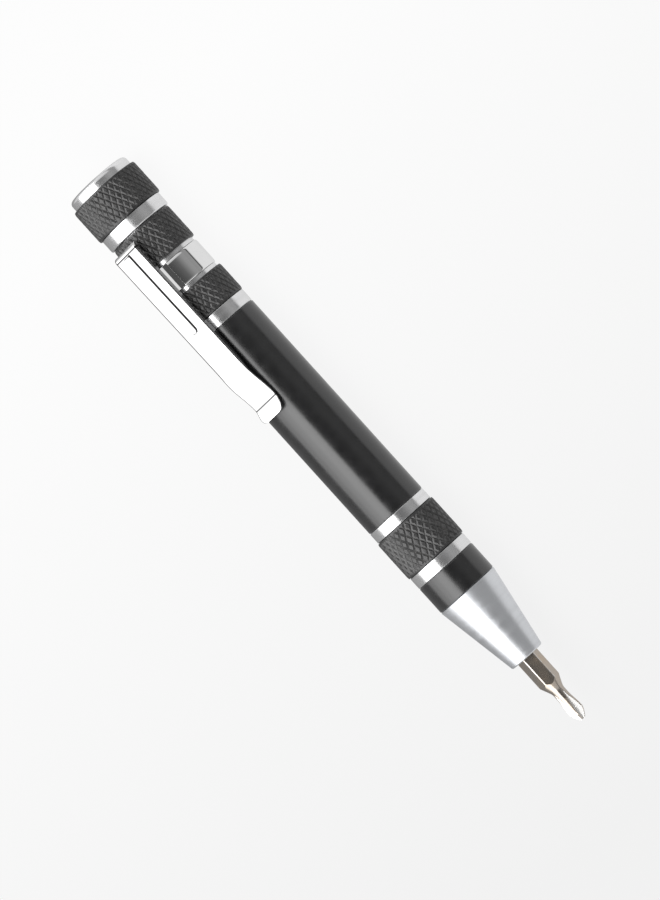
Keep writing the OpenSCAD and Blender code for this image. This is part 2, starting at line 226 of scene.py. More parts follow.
@dataclass(frozen=True)
class Effects:
    """The shader groups that more than one finish uses."""

    edge_wear: Tree
    turning_lines: Tree
    fine_grain: Tree
    dust: Tree
    spread: ClassVar[Pair] = (0.3, 0.7)
    whole: ClassVar[Pair] = (0.0, 1.0)
    broad_lines: ClassVar[float] = 0.13
    slow_grain: ClassVar[float] = 0.06

    @staticmethod
    def start(name: str, inputs: dict[str, float], outputs: Sequence[str]) -> tuple[Wiring, Any, Node]:
        """Makes an empty group with named sockets.

        Args:
            name: Name of the group.
            inputs: Default of each input by name.
            outputs: Names of the outputs.

        Returns:
            The wiring of the group, its input sockets and its output node.
        """
        tree = bpy.data.node_groups.new(name, "ShaderNodeTree")
        for label, value in inputs.items():
            socket = tree.interface.new_socket(label, in_out="INPUT", socket_type="NodeSocketFloat")
            socket.default_value = value
        for label in outputs:
            tree.interface.new_socket(label, in_out="OUTPUT", socket_type="NodeSocketFloat")
        wiring = Wiring(tree)
        return wiring, wiring.add("NodeGroupInput").outputs, wiring.add("NodeGroupOutput")

    @classmethod
    def build(cls) -> "Effects":
        """Builds every group once and returns them together."""
        return cls(cls._edge_wear(), cls._turning_lines(), cls._fine_grain(), cls._dust())

    @classmethod
    def _edge_wear(cls) -> Tree:
        """Builds a mask along the edges that hands and pockets rub.

        Returns:
            The group.
        """
        wiring, given, target = cls.start("EdgeWear", {"Amount": 0.5, "Breakup": 900.0}, ["Mask"])
        patches = wiring.noise(wiring.place(), given["Breakup"], 4.0)
        broken = wiring.span(patches, cls.spread, (0.25, 1.25))
        rubbed = wiring.math("MULTIPLY", wiring.mask("edge"), broken)
        mask = wiring.span(rubbed, (0.25, 0.95), cls.whole, smooth=True)
        return wiring.end(target, Mask=wiring.math("MULTIPLY", mask, given["Amount"]))

    @classmethod
    def _turning_lines(cls) -> Tree:
        """Builds the fine rings that a lathe tool leaves on tubes and faces.

        Returns:
            The group.
        """
        wiring, given, target = cls.start(
            "TurningLines", {"Lines": 9000.0, "Waver": 60.0}, ["Height", "Streak"]
        )
        parts = wiring.parts(wiring.place())
        squares = [wiring.math("MULTIPLY", parts[k], parts[k]) for k in "YZ"]
        reach = wiring.math("SQRT", wiring.math("ADD", squares[0], squares[1]))
        lines = wiring.math("MULTIPLY", wiring.math("ADD", parts["X"], reach), given["Lines"])
        slow = wiring.math("MULTIPLY", lines, cls.broad_lines)
        sway = [wiring.math("MULTIPLY", parts[k], given["Waver"]) for k in "YZ"]
        fine = wiring.add("ShaderNodeCombineXYZ", {0: lines, 1: sway[0], 2: sway[1]})
        broad = wiring.add("ShaderNodeCombineXYZ", {0: slow, 1: sway[1], 2: sway[0]})
        streak = wiring.noise(broad.outputs[0], 1.0, 3.0)
        return wiring.end(
            target,
            Height=wiring.noise(fine.outputs[0], 1.0, 2.0),
            Streak=wiring.span(streak, cls.spread, cls.whole),
        )

    @classmethod
    def _fine_grain(cls) -> Tree:
        """Builds an even grain with a slow mottle under it.

        Returns:
            The group.
        """
        wiring, given, target = cls.start("FineGrain", {"Scale": 6000.0}, ["Height", "Mottle"])
        place = wiring.place()
        slow = wiring.noise(place, wiring.math("MULTIPLY", given["Scale"], cls.slow_grain), 4.0)
        return wiring.end(
            target,
            Height=wiring.noise(place, given["Scale"], 3.0),
            Mottle=wiring.span(slow, cls.spread, cls.whole),
        )

    @classmethod
    def _dust(cls) -> Tree:
        """Builds a mask of dust and lint that stays in the hollows.

        Returns:
            The group.
        """
        wiring, given, target = cls.start("Dust", {"Amount": 0.3, "Scale": 1500.0}, ["Mask"])
        specks = wiring.noise(wiring.place(), given["Scale"], 5.0)
        specks = wiring.span(specks, (0.45, 0.72), cls.whole, smooth=True)
        lying = wiring.math("MULTIPLY", wiring.mask("hollow_and_shade"), specks)
        return wiring.end(target, Mask=wiring.math("MULTIPLY", lying, given["Amount"]))


# Finishes


@dataclass(frozen=True)
class Finish:
    """A surface finish: one material and how it is dressed."""

    name: str
    slot: str
    colour: Colour
    metallic: float = 0.0
    roughness: float = 0.4
    ior: float = 1.5

    def material(self, effects: Effects) -> bpy.types.Material:
        """Builds the material once and returns it.

        Args:
            effects: The shader groups.

        Returns:
            The finished material.
        """
        made = bpy.data.materials.get(self.name)
        if made is not None:
            return made
        made = bpy.data.materials.new(self.name)
        made.use_nodes = True
        made.node_tree.nodes.clear()
        made.diffuse_color = (*self.colour, 1.0)
        wiring = Wiring(made.node_tree)
        shader = wiring.add(
            "ShaderNodeBsdfPrincipled",
            {
                "Base Color": (*self.colour, 1.0),
                "Metallic": self.metallic,
                "Roughness": self.roughness,
                "IOR": self.ior,
            },
        )
        wiring.add("ShaderNodeOutputMaterial", {"Surface": shader.outputs["BSDF"]})
        self.dress(wiring, shader, effects)
        return made

    def dress(self, wiring: Wiring, shader: Node, effects: Effects) -> None:
        """Joins the detail of this finish to its shader."""
        raise NotImplementedError

    def shade(self, share: float) -> Colour:
        """The colour, lighter or darker by a share and never above white."""
        return tuple(min(1.0, share * c) for c in self.colour)

    def rough(self, wiring: Wiring, mask: Socket, shares: Pair) -> Socket:
        """Roughness that follows a mask between two shares of its own value."""
        ends = (shares[0] * self.roughness, shares[1] * self.roughness)
        return wiring.span(mask, Effects.whole, ends)


@dataclass(frozen=True)
class TurnedMetal(Finish):
    """Bare metal with the rings of the lathe tool."""

    lines: float = 9000.0
    depth: float = 0.003
    grit: float = 0.25
    streak: float = 0.92
    polish: float = 0.05
    rubbed: float = 1.06

    def dress(self, wiring: Wiring, shader: Node, effects: Effects) -> None:
        """Adds turning lines, streaks and rubbed edges.

        Args:
            wiring: The nodes of the material.
            shader: Its shader.
            effects: The shader groups.
        """
        lines = wiring.group(effects.turning_lines, Lines=self.lines)
        grain = wiring.group(effects.fine_grain, Scale=5000.0)
        worn = wiring.group(effects.edge_wear, Amount=0.8, Breakup=700.0)["Mask"]
        tone = wiring.mix(lines["Streak"], self.shade(self.streak), self.colour)
        rough = self.rough(wiring, lines["Streak"], (1.15, 0.85))
        height = wiring.shift(lines["Height"], grain["Height"], self.grit)
        wiring.end(
            shader,
            Base_Color=wiring.mix(worn, tone, self.shade(self.rubbed)),
            Roughness=wiring.shift(rough, worn, -self.polish),
            Normal=wiring.bump(height, self.depth, strength=0.6),
        )


@dataclass(frozen=True)
class Anodised(Finish):
    """Dyed and anodised aluminium: a hard glassy skin over black metal."""

    bare: Colour = (0.42, 0.42, 0.43)
    bare_metallic: float = 0.7
    wear: float = 0.25
    lint: Colour = (0.19, 0.18, 0.17)
    lint_rough: float = 0.3
    dusty: float = 0.0
    mottle: Pair = (0.75, 1.25)
    lines: float = 7000.0
    line_share: float = 0.5
    depth: float = 0.0015

    def dress(self, wiring: Wiring, shader: Node, effects: Effects) -> None:
        """Adds faint turning lines, grain, rubbed crests and dust.

        Args:
            wiring: The nodes of the material.
            shader: Its shader.
            effects: The shader groups.
        """
        lines = wiring.group(effects.turning_lines, Lines=self.lines)
        grain = wiring.group(effects.fine_grain, Scale=8000.0)
        worn = wiring.group(effects.edge_wear, Amount=self.wear, Breakup=1100.0)["Mask"]
        lint = wiring.group(effects.dust, Amount=self.dusty, Scale=1700.0)["Mask"]
        tone = wiring.mix(grain["Mottle"], self.shade(self.mottle[0]), self.shade(self.mottle[1]))
        tone = wiring.mix(worn, tone, self.bare)
        rough = self.rough(wiring, grain["Mottle"], (0.88, 1.12))
        height = wiring.shift(grain["Height"], lines["Height"], self.line_share)
        wiring.end(
            shader,
            Base_Color=wiring.mix(lint, tone, self.lint),
            Roughness=wiring.shift(rough, lint, self.lint_rough),
            Metallic=wiring.math("MULTIPLY", worn, self.bare_metallic),
            Normal=wiring.bump(height, self.depth, strength=0.5),
        )


@dataclass(frozen=True)
class Plated(Finish):
    """Polished plating with hairline scratches and a faint ripple."""

    hair: float = 0.0008
    haze: float = 0.97
    # Painted shade: share of the colour left in the dark lines that the mesh marks
    painted_shade: float = 0.14
    rubbed: float = 0.9
    rubbed_rough: float = 0.08

    def dress(self, wiring: Wiring, shader: Node, effects: Effects) -> None:
        """Adds the ripple of the pressing, handling haze and painted shade in the marked lines.

        Args:
            wiring: The nodes of the material.
            shader: Its shader.
            effects: The shader groups.
        """
        grain = wiring.group(effects.fine_grain, Scale=3500.0)
        worn = wiring.group(effects.edge_wear, Amount=0.6, Breakup=600.0)["Mask"]
        tone = wiring.mix(grain["Mottle"], self.shade(self.haze), self.colour)
        # Painted shade: the marked lines, at the clip's bends and beside its rib, are darkened to
        # stand for shade
        tone = wiring.mix(wiring.mask("hollow_and_shade"), tone, self.shade(self.painted_shade))
        rough = self.rough(wiring, grain["Mottle"], (0.8, 1.4))
        wiring.end(
            shader,
            Base_Color=wiring.mix(worn, tone, self.shade(self.rubbed)),
            Roughness=wiring.shift(rough, worn, self.rubbed_rough),
            Normal=wiring.bump(grain["Height"], self.hair, strength=0.35),
        )


@dataclass(frozen=True)
class ToolSteel(Finish):
    """Hardened dark steel with polished corners and bright ground hollows."""

    polished: Colour = (0.78, 0.76, 0.74)
    polish: float = 0.1
    ground: Colour = (0.86, 0.85, 0.83)
    ground_rough: float = 0.18
    heat: Colour = (1.12, 1.0, 0.86)
    depth: float = 0.0008

    def dress(self, wiring: Wiring, shader: Node, effects: Effects) -> None:
        """Adds heat tint, grain, bright worn corners and ground hollows.

        Args:
            wiring: The nodes of the material.
            shader: Its shader.
            effects: The shader groups.
        """
        grain = wiring.group(effects.fine_grain, Scale=4500.0)
        worn = wiring.group(effects.edge_wear, Amount=0.75, Breakup=1500.0)["Mask"]
        hollow_and_shade = wiring.mask("hollow_and_shade")
        tint = tuple(c * share for c, share in zip(self.colour, self.heat))
        tone = wiring.mix(grain["Mottle"], self.colour, tint)
        tone = wiring.mix(hollow_and_shade, tone, self.ground)
        rough = self.rough(wiring, grain["Mottle"], (0.85, 1.2))
        rough = wiring.shift(rough, hollow_and_shade, self.ground_rough)
        wiring.end(
            shader,
            Base_Color=wiring.mix(worn, tone, self.polished),
            Roughness=wiring.shift(rough, worn, -self.polish),
            Normal=wiring.bump(grain["Height"], self.depth, strength=0.5),
        )


@dataclass(frozen=True)
class Moulded(Finish):
    """Moulded plastic or rubber with a fine spark-eroded grain."""

    scale: float = 2600.0
    depth: float = 0.006
    mottle: Pair = (0.9, 1.06)
    lint: Colour = (0.3, 0.29, 0.27)

    def dress(self, wiring: Wiring, shader: Node, effects: Effects) -> None:
        """Adds grain, a slow mottle and dust.

        Args:
            wiring: The nodes of the material.
            shader: Its shader.
            effects: The shader groups.
        """
        grain = wiring.group(effects.fine_grain, Scale=self.scale)
        lint = wiring.group(effects.dust, Amount=0.3, Scale=900.0)["Mask"]
        tone = wiring.mix(grain["Mottle"], self.shade(self.mottle[0]), self.shade(self.mottle[1]))
        wiring.end(
            shader,
            Base_Color=wiring.mix(lint, tone, self.lint),
            Roughness=self.rough(wiring, grain["Mottle"], (0.9, 1.1)),
            Normal=wiring.bump(grain["Height"], self.depth, strength=0.5),
        )


BRIGHT = TurnedMetal("bright_aluminium_turned", "bright_aluminium", (0.88, 0.88, 0.885), 1.0, 0.24)
SATIN = TurnedMetal("bright_aluminium_satin", "bright_aluminium", (0.74, 0.755, 0.78), 1.0, 0.38)
CUT = TurnedMetal("bright_aluminium_cut", "bright_aluminium", (0.9, 0.9, 0.9), 1.0, 0.2, lines=14000.0)
GLOSS = Anodised("black_anodised_gloss", "black_aluminium", (0.006, 0.006, 0.0063), 0.0, 0.24, 1.8)
GRIP = Anodised(
    "black_anodised_knurl",
    "black_aluminium",
    (0.011, 0.0108, 0.011),
    0.0,
    0.42,
    1.7,
    bare=(0.3, 0.295, 0.29),
    wear=0.28,
    dusty=0.25,
)
CHROME = Plated("clip_chrome_polished", "clip_chrome", (0.9, 0.9, 0.9), 1.0, 0.06)
STEEL = ToolSteel("bit_steel_hardened", "bit_steel", (0.48, 0.45, 0.42), 1.0, 0.24)
SOCKET = TurnedMetal("socket_steel_turned", "socket_steel", (0.5, 0.5, 0.5), 1.0, 0.32, lines=6000.0)
NICKEL = Plated("magnet_nickel", "magnet", (0.66, 0.65, 0.62), 1.0, 0.16)
RUBBER = Moulded("seal_rubber_black", "seal_rubber", (0.018, 0.018, 0.018), 0.0, 0.6)
PLASTIC = Moulded("rack_plastic_grey", "rack_plastic", (0.62, 0.62, 0.6), 0.0, 0.42, depth=0.004)


# Shapes


@dataclass
class Shape:
    """Points and faces of one piece, with the masks that its finish reads."""

    points: np.ndarray
    faces: Faces
    edge: np.ndarray
    hollow_and_shade: np.ndarray
    weld: ClassVar[float] = 1e-7
    sliver: ClassVar[float] = 1e-8

    @classmethod
    def of(
        cls,
        points: np.ndarray,
        faces: Faces,
        edge: np.ndarray | None = None,
        hollow_and_shade: np.ndarray | None = None,
    ) -> "Shape":
        """Makes a shape, with plain masks where none are given.

        Args:
            points: One row of x, y and z in millimetres for each point.
            faces: Point numbers of each face.
            edge: Wear of each point, from 0 to 1.
            hollow_and_shade: Depth of each point in the hollows, from 0 to 1; on the clip strip, its
                lines of painted shade.

        Returns:
            The shape.
        """
        plain = np.zeros(len(points))
        edge = plain if edge is None else edge
        hollow_and_shade = plain if hollow_and_shade is None else hollow_and_shade
        return cls(np.asarray(points, float) * MM, faces, edge, hollow_and_shade)

    def join(self, other: "Shape") -> "Shape":
        """Joins two shapes.

        Args:
            other: The shape to add.

        Returns:
            Both as one shape.
        """
        shift = len(self.points)
        moved = [tuple(i + shift for i in face) for face in other.faces]
        return Shape(
            np.vstack((self.points, other.points)),
            self.faces + moved,
            np.concatenate((self.edge, other.edge)),
            np.concatenate((self.hollow_and_shade, other.hollow_and_shade)),
        )

    def make(self, name: str, finish: Finish, effects: Effects, crease: float) -> bpy.types.Object:
        """Makes the mesh object and puts its finish on.

        Args:
            name: Name of the piece.
            finish: Its finish.
            effects: The shader groups.
            crease: Angle in degrees above which an edge stays sharp.

        Returns:
            The new object.
        """
        mesh = bpy.data.meshes.new(name)
        mesh.from_pydata(self.points.tolist(), [], self.faces)
        for label, values in (("edge", self.edge), ("hollow_and_shade", self.hollow_and_shade)):
            mask = mesh.attributes.new(label, "FLOAT", "POINT")
            mask.data.foreach_set("value", values.astype(np.float32))
        work = bmesh.new()
        work.from_mesh(mesh)
        bmesh.ops.remove_doubles(work, verts=work.verts, dist=self.weld)
        bmesh.ops.dissolve_degenerate(work, edges=work.edges, dist=self.sliver)
        bmesh.ops.recalc_face_normals(work, faces=work.faces)
        work.to_mesh(mesh)
        work.free()
        mesh.shade_smooth()
        mesh.set_sharp_from_angle(angle=math.radians(crease))
        mesh.materials.append(finish.material(effects))
        piece = bpy.data.objects.new(name, mesh)
        bpy.context.scene.collection.objects.link(piece)
        return piece


def smooth(low: float, high: float, value: Any) -> Any:
    """An S curve from 0 at low to 1 at high."""
    share = np.clip((np.asarray(value, float) - low) / (high - low), 0.0, 1.0)
    return share * share * (3.0 - 2.0 * share)


def triangle(turns: np.ndarray) -> np.ndarray:
    """A wave from 0 at each whole turn straight up to 1 at the half."""
    return 1 - np.abs(2 * np.mod(turns, 1.0) - 1)


def radius_of(node: str) -> float:
    """Outside radius of a turned node, in millimetres."""
    low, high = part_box(node)
    return (high.y - low.y) / 2 / MM


def span_of(node: str) -> Pair:
    """Rear and front station of a node, in millimetres."""
    low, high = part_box(node)
    return low.x / MM, high.x / MM


def full_turn(count: int) -> np.ndarray:
    """Even angles round a circle."""
    return np.linspace(0.0, 2 * math.pi, count, endpoint=False)


def ring(x: float, radius: Any, turn: np.ndarray, centre: Pair = (0.0, 0.0)) -> np.ndarray:
    """One ring of points about the pen axis or a line beside it."""
    across, up = centre[0] - radius * np.sin(turn), centre[1] + radius * np.cos(turn)
    return np.stack((np.full(len(turn), x), across, up), axis=1)


def around(first: int, second: int, count: int) -> Faces:
    """Faces between two rings, given by the numbers of their first points."""
    steps = [(j, (j + 1) % count) for j in range(count)]
    return [(first + j, first + k, second + k, second + j) for j, k in steps]


def rounded(corners: Sequence[Corner], steps: int = 5) -> tuple[list[Pair], list[float]]:
    """Rounds the corners of a closed outline.

    Args:
        corners: Station, radius and corner radius of each corner.
        steps: Number of straight pieces in each rounding.

    Returns:
        The points of the outline and the wear of each.
    """
    line: list[Pair] = []
    worn: list[float] = []
    hold, most, least_wear, nothing = 0.03, 0.4, 0.35, 1e-6
    for k, (x, r, fillet) in enumerate(corners):
        here = np.array((x, r))
        ways = [np.array(corners[n][:2]) - here for n in (k - 1, (k + 1) % len(corners))]
        sizes = [float(np.linalg.norm(way)) for way in ways]
        if fillet <= 0.0 or min(sizes) < nothing:
            line.append((x, r))
            worn.append(0.0)
            continue
        back, ahead = ways[0] / sizes[0], ways[1] / sizes[1]
        half = math.acos(float(np.clip(back @ ahead, -1.0, 1.0))) / 2
        reach = min(fillet / math.tan(half), most * sizes[0], most * sizes[1])
        middle = here + (back + ahead) / np.linalg.norm(back + ahead) * reach / math.cos(half)
        first, last = here + back * reach - middle, here + ahead * reach - middle
        sweep = math.pi - 2 * half
        if sizes[0] / 2 > reach + hold:
            line.append(tuple(here + back * (reach + hold)))
            worn.append(0.0)
        for i in range(steps + 1):
            t = i / steps
            spoke = math.sin((1 - t) * sweep) * first + math.sin(t * sweep) * last
            line.append(tuple(middle + spoke / math.sin(sweep)))
            worn.append(least_wear + (1 - least_wear) * math.sin(math.pi * t))
        if sizes[1] / 2 > reach + hold:
            line.append(tuple(here + ahead * (reach + hold)))
            worn.append(0.0)
    return line, worn


def turned(corners: Sequence[Corner], segments: int = 160) -> Shape:
    """Turns a closed outline about the pen axis.

    Args:
        corners: Station, radius and corner radius of each corner.
        segments: Number of faces round the axis.

    Returns:
        The turned shape.
    """
    line, worn = rounded(corners)
    turn, nothing = full_turn(segments), 1e-6
    rings = [ring(x, r, turn) for x, r in line]
    faces: Faces = []
    for i in range(len(line)):
        ahead = (i + 1) % len(line)
        if max(line[i][1], line[ahead][1]) > nothing:
            faces += around(i * segments, ahead * segments, segments)
    return Shape.of(np.vstack(rings), faces, edge=np.repeat(worn, segments))


def soften(piece: bpy.types.Object, width: float, segments: int, turn: float) -> None:
    """Rounds the edges of a piece.

    Args:
        piece: The piece.
        width: Width of the rounding in millimetres.
        segments: Number of faces across the rounding.
        turn: Angle in degrees above which an edge is rounded.
    """
    bevel = piece.modifiers.new("edges", "BEVEL")
    bevel.width = width * MM
    bevel.segments = segments
    bevel.limit_method = "ANGLE"
    bevel.angle_limit = math.radians(turn)
    bevel.harden_normals = True


@dataclass
class Builder:
    """Puts pieces into the scene on their bodies, hides the nodes that they stand for, and finishes
    nodes that keep their shape.
    """

    effects: Effects

    def place(
        self,
        shape: Shape,
        name: str,
        finish: Finish,
        body: Body,
        nodes: Sequence[str],
        crease: float = 35.0,
    ) -> bpy.types.Object:
        """Makes a piece that rides on one body.

        Args:
            shape: The shape of the piece.
            name: Name of the piece.
            finish: Its finish.
            body: The body that carries it.
            nodes: The nodes that it stands for.
            crease: Angle in degrees above which an edge stays sharp.

        Returns:
            The piece.
        """
        piece = shape.make(name, finish, self.effects, crease)
        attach(piece, body.value)
        if nodes:
            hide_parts(*nodes)
        LOG.info("%s rides on %s, %d faces", name, body.value, len(piece.data.polygons))
        return piece

    def dress(self, node: str, finish: Finish, rounding: float = 0.0) -> None:
        """Finishes a node that keeps its own shape.

        Args:
            node: Name of the node.
            finish: Its finish.
            rounding: Width in millimetres by which its edges are rounded.
        """
        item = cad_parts[node]
        item.data.materials.clear()
        item.data.materials.append(finish.material(self.effects))
        if rounding > 0.0:
            soften(item, rounding, segments=2, turn=40.0)
        LOG.info("%s keeps its shape", node)


@dataclass
class Knurl:
    """A sleeve with a diamond knurl: crossed V grooves between flat diamonds.

    The second wheel cuts less deep than the first, so one diagonal stands out.
    """

    node: str
    bore: float
    pitch: float = 1.2
    second: float = 0.6
    depth: float = 0.19
    rise: float = 2.13
    groove: float = 0.5
    steps: int = 12
    chamfer: float = 0.16
    chamfer_share: float = 0.6
    land: Pair = (0.5, 0.15)
    land_share: float = 0.3
    crest: Pair = (0.1, 0.02)
    uneven: float = 0.03
    crease: ClassVar[float] = 20.0
    shuffle: ClassVar[tuple[int, int]] = (31, 17)
    golden: ClassVar[float] = 2.399

    def build(self, builder: Builder, body: Body) -> None:
        """Builds the sleeve in the place of its node."""
        builder.place(self.shape(), f"{self.node}_knurl", GRIP, body, [self.node], self.crease)

    def shape(self) -> Shape:
        """Builds the knurl as a fine net, with its bore and end faces.

        Returns:
            The sleeve.
        """
        (start, end), outer = span_of(self.node), radius_of(self.node)
        columns = 2 * round(math.pi * outer / self.pitch) * self.steps
        rows = round((end - start) / self.rise * self.steps)
        row, column = np.meshgrid(np.arange(rows + 1), np.arange(columns), indexing="ij")
        waves = [triangle((column + sign * row) / self.steps) for sign in (1, -1)]
        cuts = [1 - np.minimum(wave / self.groove, 1.0) for wave in waves]
        height = 1 - np.maximum(cuts[0], self.second * cuts[1])
        height = height * self.tops(row, column)
        along = start + row * (end - start) / rows
        near = np.minimum(along - start, end - along)
        land = smooth(*self.land, near)
        knurled = outer - self.depth * (1 - height)
        knurled = knurled + (outer - self.land_share * self.depth - knurled) * land
        sloped = outer - self.chamfer_share * self.depth + near * self.depth / self.chamfer
        radius = np.minimum(sloped, knurled)
        turn = full_turn(columns)
        net = [ring(x, r, turn) for x, r in zip(along[:, 0], radius)]
        bore = [ring(x, self.bore, turn) for x in (start, end)]
        crests = [smooth(*self.crest, np.abs(wave - self.groove)) for wave in waves]
        top = np.minimum(waves[0], waves[1]) > self.groove - self.crest[0]
        wear = np.maximum(crests[0], self.second * crests[1]) * top * (1 - land)
        hollow_and_shade = (1 - height) * (1 - land)
        faces = self.squares(waves[0] < waves[1])
        last, base = rows * columns, (rows + 1) * columns
        for first, other in ((0, base), (last, base + columns), (base, base + columns)):
            faces += around(first, other, columns)
        plain = np.zeros(2 * columns)
        return Shape.of(
            np.vstack((*net, *bore)),
            faces,
            edge=np.concatenate((wear.ravel(), plain)),
            hollow_and_shade=np.concatenate((hollow_and_shade.ravel(), plain)),
        )

    def tops(self, row: np.ndarray, column: np.ndarray) -> np.ndarray:
        """How far each diamond stands up, as a share that differs a little.

        Args:
            row: Row of each point.
            column: Column of each point.

        Returns:
            The share at each point.
        """
        ways = [np.floor((column + sign * row) / self.steps) for sign in (1, -1)]
        diamond = ways[0] * self.shuffle[0] + ways[1] * self.shuffle[1]
        return 1 - self.uneven + self.uneven * np.sin(diamond * self.golden)

    @staticmethod
    def squares(lean: np.ndarray) -> Faces:
        """Splits each square of the net along the groove that crosses it.

        Args:
            lean: True at each point that lies nearer to the first groove.

        Returns:
            The triangles.
        """
        rows, columns = lean.shape
        faces: Faces = []
        for i in range(rows - 1):
            for j in range(columns):
                k = (j + 1) % columns
                a, b = i * columns + j, i * columns + k
                d, c = a + columns, b + columns
                if lean[i, j] or lean[i + 1, k]:
                    faces += [(a, b, d), (b, c, d)]
                else:
                    faces += [(a, b, c), (a, c, d)]
        return faces


@dataclass
class Net:
    """A closed shape about an axis, given as radius by angle and station."""

    stations: np.ndarray
    columns: int
    centre: Pair = (0.0, 0.0)
    roll: float = 0.0

    def shape(self, radii: np.ndarray, edge: np.ndarray, hollow_and_shade: np.ndarray) -> Shape:
        """Builds the shape from one row of radii for each station.

        Args:
            radii: Radius in millimetres by station and angle.
            edge: Wear by station and angle.
            hollow_and_shade: Hollow by station and angle.

        Returns:
            The shape, closed at both ends.
        """
        turn = full_turn(self.columns) + math.radians(self.roll)
        rings = [ring(x, row, turn, self.centre) for x, row in zip(self.stations, radii)]
        ends = np.array([(self.stations[k], *self.centre) for k in (0, -1)])
        count = self.columns
        last, tip = (len(rings) - 1) * count, len(rings) * count
        faces: Faces = []
        for first in range(0, last, count):
            faces += around(first, first + count, count)
        for j in range(count):
            k = (j + 1) % count
            faces += [(tip, k, j), (tip + 1, last + j, last + k)]
        plain = np.zeros(2)
        return Shape.of(
            np.vstack((*rings, ends)),
            faces,
            edge=np.concatenate((edge.ravel(), plain)),
            hollow_and_shade=np.concatenate((hollow_and_shade.ravel(), plain)),
        )


# Sub-assemblies


@dataclass
class Cap:
    """The screw cap at the rear: turned plug, knurl, rim and seal."""

    disc_round: float = 0.8
    dish: float = 0.12
    dish_r: Pair = (4.3, 4.5)
    rim_round: float = 0.7
    edge: float = 0.2
    edge_round: Pair = (0.04, 0.06)
    spigot_r: float = 5.9
    stub_r: float = 5.2
    stem_r: float = 2.1
    seal_depth: float = 0.95
    seal_gap: float = 0.05
    neck: Pair = (0.35, 0.5)
    lead: float = 0.15
    ease: float = 0.1
    soft: float = 0.08
    fine: float = 0.05
    thread_pitch: float = 0.7
    thread_depth: float = 0.28
    thread_gap: Pair = (0.3, 0.25)
    thread_flats: Pair = (0.12, 0.84)
    thread_crest: Pair = (0.9, 1.0)
    thread_fade: float = 0.5
    thread_rows: int = 16
    thread_columns: int = 96
    root_gap: float = 0.02

    def build(self, builder: Builder) -> None:
        """Builds the cap's pieces.

        Args:
            builder: Puts them into the scene.
        """
        builder.place(self.plug(), "cap_plug_turned", BRIGHT, Body.CAP, ["cap_plug"])
        builder.place(self.thread(), "cap_thread", CUT, Body.CAP, [])
        Knurl("cap_grip", self.spigot_r).build(builder, Body.CAP)
        builder.place(self.rim(), "cap_rim_turned", BRIGHT, Body.CAP, ["cap_rim"])
        builder.dress("cap_o_ring", RUBBER)

    def rim(self) -> Shape:
        """The bright ring at the mouth, rounded towards the barrel.

        Returns:
            The rim.
        """
        (start, end), outer = span_of("cap_rim"), radius_of("cap_rim")
        return turned(
            [
                (start, self.spigot_r, 0.0),
                (start, outer - self.edge, self.edge_round[0]),
                (start + self.edge, outer, self.edge_round[1]),
                (end, outer, self.rim_round),
                (end, self.spigot_r, 0.0),
            ]
        )

    def plug(self) -> Shape:
        """The turned plug, with its stub cut down to carry the thread.

        Returns:
            The plug.
        """
        (rear, end), outer = span_of("cap_plug"), radius_of("cap_plug")
        shoulder, front = span_of("cap_grip")[0], span_of("cap_rim")[1]
        seal = span_of("cap_o_ring")
        bed = self.stub_r - self.seal_depth
        root = self.stub_r - self.thread_depth - self.root_gap
        return turned(
            [
                (rear + self.dish, 0.0, 0.0),
                (rear + self.dish, self.dish_r[0], self.ease),
                (rear, self.dish_r[1], self.soft),
                (rear, outer, self.disc_round),
                (shoulder, outer, self.soft),
                (shoulder, self.spigot_r, 0.0),
                (front, self.spigot_r, self.ease),
                (front, self.stub_r, self.ease),
                (seal[0] - self.seal_gap, self.stub_r, self.soft),
                (seal[0] - self.seal_gap, bed, self.fine),
                (seal[1] + self.seal_gap, bed, self.fine),
                (seal[1] + self.seal_gap, self.stub_r, self.soft),
                (seal[1] + self.neck[0], self.stub_r, self.fine),
                (seal[1] + self.neck[1], root, self.fine),
                (end, root, self.lead),
                (end, self.stem_r, self.ease),
                (front, self.stem_r, 0.0),
                (front, 0.0, 0.0),
            ]
        )

    def thread(self) -> Shape:
        """The screw thread on the stub.

        Returns:
            The thread.
        """
        start = span_of("cap_o_ring")[1] + self.thread_gap[0]
        end = span_of("cap_plug")[1] - self.thread_gap[1]
        rows = round((end - start) / self.thread_pitch * self.thread_rows)
        stations = np.linspace(start, end, rows)
        angles = full_turn(self.thread_columns)
        ridge = triangle(stations[:, None] / self.thread_pitch + angles / (2 * math.pi))
        root, crest = self.thread_flats
        ridge = np.clip((ridge - root) / (crest - root), 0.0, 1.0)
        fade = smooth(start, start + self.thread_fade, stations)
        fade = fade * smooth(end, end - self.thread_fade, stations)
        radii = self.stub_r - self.thread_depth * (1 - ridge * fade[:, None])
        net = Net(stations, self.thread_columns)
        return net.shape(radii, smooth(*self.thread_crest, ridge), 1 - ridge)


